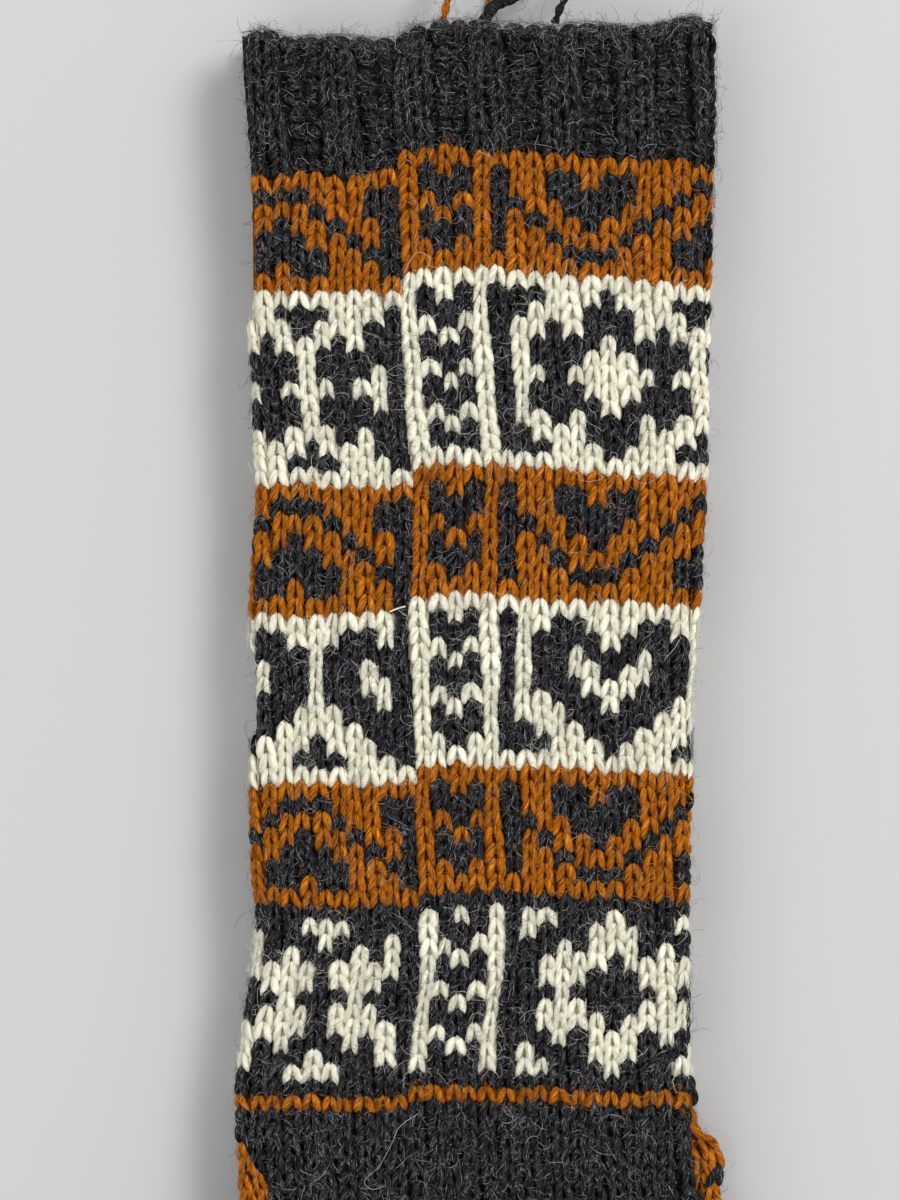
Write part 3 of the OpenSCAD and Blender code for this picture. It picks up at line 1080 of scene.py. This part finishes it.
def back_section(mitten, section, first_row, rows):
    edges = np.arange(first_row, first_row + rows + 1.0)
    edges[0] += CAST_ON_TUCK if section == "cast_on_edge" else 0

    def limits(grid_rows):
        least = mitten.inner_share(row_distance(grid_rows))
        return least, 1 - least

    def fade(share):
        return fold_fade(share * COLUMNS)

    depths = CUFF_DEPTHS if section in ("cast_on_edge", "ribbed_cuff") else DEPTHS
    backing(f"{mitten.name}_{section}", mitten.at_share, limits, edges, 2 * COLUMNS + 1, 0.01,
            mitten.flip, BACKING_YARNS.get(section, "charcoal"), mitten.body, depths, fade)


def knit_section(mitten, section, first_row, rows):
    name = f"{mitten.name}_{section}"
    visible = mitten.name == "upper"
    column, row = np.meshgrid(np.arange(COLUMNS), np.arange(rows))
    column, row = column.ravel(), row.ravel()
    r = first_row + row + 0.5
    u = np.mod(column + 0.5 + mitten.creep(row_distance(r)), COLUMNS)
    real = mitten.knitted(u, r)
    column, row, r, u = column[real], row[real], r[real], u[real]
    stitches = Stitches(mitten.at, u, r, WITHIN_COLUMN, mitten.flip)
    if section == "ribbed_cuff":
        knit_cuff(name, mitten, stitches, column, row, u, visible)
    elif section == "cast_on_edge":
        knit_cast_on(name, mitten, stitches, visible)
    else:
        if section == "wrist_stripe":
            stitches.height = stitches.height * STRIPE_HEIGHT
        colours = np.array([stitch_colour(section, k, rows, c) for k, c in zip(row, column)])
        knit_colours(name, mitten, stitches, colours, visible)
    back_section(mitten, section, first_row, rows)


def face_stitches(at, counts, low, high, first, flip):
    """Stitches that fill rows from face low to high, with counts[k] of them in row first + k."""
    faces, rows, halves = [], [], []
    for k, count in enumerate(counts):
        faces += list(low + (np.arange(count) + 0.5) * (high - low) / count)
        rows += [first + k + 0.5] * count
        halves += [0.5 * (high - low) / count] * count
    return Stitches(at, faces, rows, np.array(halves), flip), np.array(rows)


def fixed_limits(low, high):
    return lambda rows: (np.full(len(rows), low), np.full(len(rows), high))


GUSSET_SEEDED = (4, 5)
GUSSET_STITCH = 3.4


def knit_gusset(mitten):
    """The rust gusset, with two rows where every other stitch is charcoal."""
    name = mitten.name + "_thumb_gusset"
    counts, colours = [], []
    for k in range(GUSSET_ROWS):
        part = (k + 0.5) / GUSSET_ROWS
        inner = along_path(mitten.gusset_inner, part)
        outer = along_path(mitten.gusset_outer, part)
        wide = math.hypot(inner[0] - outer[0], inner[1] - outer[1])
        counts.append(2 * max(1, round(wide / GUSSET_STITCH)))
        colours += ["charcoal" if k in GUSSET_SEEDED and (k + j) % 2 else "rust"
                    for j in range(counts[-1])]
    stitches, rows = face_stitches(mitten.gusset_at, counts, -1, 1, 0, mitten.flip)
    fold = np.zeros(len(rows))
    stitches.turn_along(mitten.gusset_at(fold, rows - 0.5) - mitten.gusset_at(fold, rows + 0.5))
    for yarn in ("charcoal", "rust"):
        part = stitches.pick(np.array(colours) == yarn)
        lay_stitches(f"{name}_{yarn}", part, KNIT, yarn, mitten.bend)
        fuzz(f"{name}_{yarn}", part, yarn, mitten.bend)
    backing(name, mitten.gusset_at, fixed_limits(-1, 1), np.arange(0.3, GUSSET_ROWS + 0.5), 41,
            0.02, mitten.flip, "rust", mitten.bend)


def knit_thumb(mitten):
    for section, first, last, yarn in (("thumb", 0, THUMB_TIP_ROW, "rust"),
                                       ("thumb_tip", THUMB_TIP_ROW, THUMB_ROWS, "charcoal")):
        name = f"{mitten.name}_{section}"
        counts = []
        for k in range(first, last):
            past = max(0, ((k + 0.5) * ROW_H - THUMB_STRAIGHT) / THUMB_R)
            counts.append(2 * max(1, round(THUMB_COLUMNS / 2 * math.sqrt(max(0, 1 - past ** 2)))))
        stitches, _ = face_stitches(mitten.thumb_at, counts, 0, THUMB_COLUMNS, first, mitten.flip)
        lay_stitches(f"{name}_{yarn}", stitches, KNIT, yarn, mitten.bend)
        fuzz(name, stitches, yarn, mitten.bend, 0.5)
        backing(name, mitten.thumb_at, fixed_limits(0, THUMB_COLUMNS),
                np.arange(first - 0.2, last + 0.3), 37, 0.1, mitten.flip, yarn, mitten.bend)


def knit_mitten(mitten):
    first_row = 0
    for section, rows in SECTIONS:
        knit_section(mitten, section, first_row, rows)
        first_row += rows
    knit_gusset(mitten)
    knit_thumb(mitten)


# ------------------------------------------------------------------ yarn tails
EDGE_Y = TOP_Y + 0.6
RUST_ROUTE = [[-8, EDGE_Y, 18.6], [-7.2, 212, 17.4], [-6.5, 217.5, 11.2], [-6.2, 223, 5],
              [-5.8, 229, 1.8], [-5, 236, 1.1], [-3.4, 243, 1.1], [-0.6, 248.5, 1.1], [3, 250, 1.1],
              [6.2, 247.5, 1.1], [7, 242, 1.1], [5.4, 232, 1.1], [3.2, 221.5, 1.1], [1.8, 212.6, 1.1]]
THICK_ROUTE = [[0.4, EDGE_Y, 18.4], [3, 211.8, 18], [8.4, 215, 13.5], [11.8, 218, 9],
               [14.2, 222.5, 4.6], [15.6, 228.5, 1.9], [16.6, 235, 1.5], [18.6, 241.5, 1.5],
               [22.6, 247, 1.5], [28.4, 249.6, 1.5], [34.6, 249, 1.5], [41.4, 245, 1.5],
               [47.6, 236, 1.5]]
CHARCOAL_ROUTE = [[15.4, EDGE_Y, 18.6], [16.8, 212, 17], [19.4, 217.5, 10.8], [22.4, 223, 4.6],
                  [25.6, 228, 1.6], [29.4, 233, 1.1], [34, 236, 1.1], [38.6, 235.4, 1.1],
                  [41.6, 231.6, 1.1], [43.4, 226.6, 1.1], [47, 222.6, 1.1], [52, 222, 1.1],
                  [57.6, 225.8, 1.1], [62, 234.6, 1.1]]


def smooth_route(route, steps):
    """A Catmull-Rom curve through the route's points."""
    route = np.array(route, float)
    ends = np.concatenate([route[:1], route, route[-1:]])
    points = []
    for i in range(len(route) - 1):
        p0, p1, p2, p3 = ends[i:i + 4]
        for k in range(steps):
            u = k / steps
            points.append(0.5 * (2 * p1 + (p2 - p0) * u + (2 * p0 - 5 * p1 + 4 * p2 - p3) * u * u
                                 + (3 * p1 - p0 - 3 * p2 + p3) * u ** 3))
    return np.array(points + [route[-1]])


def add_tail(node, route, diameter, plies, twist, yarn):
    """A plied tail: each ply winds round the route, and its bare end frays a little."""
    path = smooth_route(route, 10)
    length = run_lengths(path)
    direction, side, up = line_frame(path)
    ply_r = diameter / 2 * (0.56 if plies > 1 else 0.92)
    orbit = diameter / 2 - ply_r
    tris, uv = tube_faces(len(path), 8)
    points, faces, corners = [], [], []
    for ply in range(plies):
        turn = 2 * math.pi * (length / twist + ply / plies)
        line = path + orbit * (np.cos(turn)[:, None] * side + np.sin(turn)[:, None] * up)
        radii = ply_r * (1 + 0.08 * np.sin(length * 2.3 + ply)) * np.ones(len(path))
        radii[-3:] *= (0.9, 0.7, 0.4)
        verts = strand(line, radii, 8)
        faces.append(tris + len(verts) * ply)
        corners.append(uv * (6.0, 1.0 / CELLS))
        points.append(verts)
    piece = build(node + "_yarn", np.concatenate(points), np.concatenate(faces),
                  np.concatenate(corners), YARNS[yarn], "upper_mitten", (node,))
    count = int(length[-1] * 2.2)
    pick = rng.integers(1, len(path) - 1, count)
    hosts = object.__new__(Stitches)
    angle = rng.uniform(0, 2 * math.pi, count)
    out = np.cos(angle)[:, None] * side[pick] + np.sin(angle)[:, None] * up[pick]
    hosts.P, hosts.N, hosts.L = path[pick] + out * (diameter / 2 - 0.45), out, direction[pick]
    hosts.A = np.cross(hosts.L, hosts.N)
    hosts.flip = 1
    lay_fibres(node + "_fuzz", hosts, 1.0, yarn, "upper_mitten", length=(1.5, 4), lift=0.5)


def add_hair(name, route, height, radius, yarn):
    """A long loose hair over the upper mitten's face, along (x, distance down) points."""
    top = UPPER_Z + LAYER_T / 2 + HALF_T + height
    path = smooth_route([(x, TOP_Y - s, top) for x, s in route], 6)
    points = strand(path, np.full(len(path), radius), 4)
    tris, uv = tube_faces(len(path), 4)
    build(name, points, tris, uv / CELLS, FIBRES[yarn], "upper_mitten")


# ------------------------------------------------------------------ the pair
# Outlines of the upper mitten as it lies, by distance down from the cast-on edge
LEFT_EDGE = [(0, -50.3), (15, -49.5), (30, -48), (57, -47.8), (94, -45.9), (120, -47.2),
             (141, -47), (172, -47.2), (189, -45.9), (204, -48), (220, -50.3), (234, -50.3)]
RIGHT_EDGE = [(0, 47.6), (30, 47.5), (57, 46.9), (94, 46.5), (120, 44.8), (141, 42.9),
              (172, 43.1), (189, 42.7), (220, 42.7), (240, 43.4), (260, 45.5), (285, 46.25)]
UPPER_GUSSET = ([(-49.4, 233.5), (-46.6, 238), (-42.4, 246)], [(-50.4, 233.5), (-49.9, 246)])
# The lower mitten hides under it but for the start of its gusset
TUCK = 1.6
LOWER_LEFT = [(s, -x + TUCK) for s, x in RIGHT_EDGE if s < 215] + [(220, -43.6), (227, -44.8),
                                                                  (230, -45.2)]
LOWER_RIGHT = [(s, -x - TUCK) for s, x in LEFT_EDGE] + [(260, 46.5), (285, 46.25)]
LOWER_GUSSET = ([(-43.6, 227), (-41.6, 233), (-41.2, 246)],
                [(-44.8, 227), (-45.6, 231.5), (-50.4, 234.5), (-51.2, 238.5), (-49.8, 244)])

add_camera()
add_floor()
add_lighting()
add_tail("rust_tail", RUST_ROUTE, 1.8, 2, 7.0, "rust")
add_tail("thick_tail", THICK_ROUTE, 2.8, 1, 9.0, "charcoal")
add_tail("charcoal_tail", CHARCOAL_ROUTE, 1.8, 2, 7.0, "charcoal")
knit_mitten(Mitten("upper", 1, UPPER_Z, LEFT_EDGE, RIGHT_EDGE, UPPER_GUSSET, slump=0, droop=6,
                   set_back=0))
knit_mitten(Mitten("lower", -1, 0, LOWER_LEFT, LOWER_RIGHT, LOWER_GUSSET, slump=3.2, droop=0,
                   set_back=1.5))
add_hair("short_hair", [(-19, 122.2), (-17.4, 121.5), (-15.6, 121)], 1.7, 0.17, "cream")
add_hair("long_hair", [(-12.7, 226.4), (-16.9, 229.4), (-18.6, 233), (-21.2, 237.6), (-24.2, 240.7),
                       (-22.4, 242.4), (-19.6, 241.4)], 1.6, 0.026, "cream")
add_hair("looped_hair", [(-16.2, 52), (-13.4, 47.4), (-10.6, 48.6), (-11.6, 51.4)], 1.6, 0.03,
         "cream")
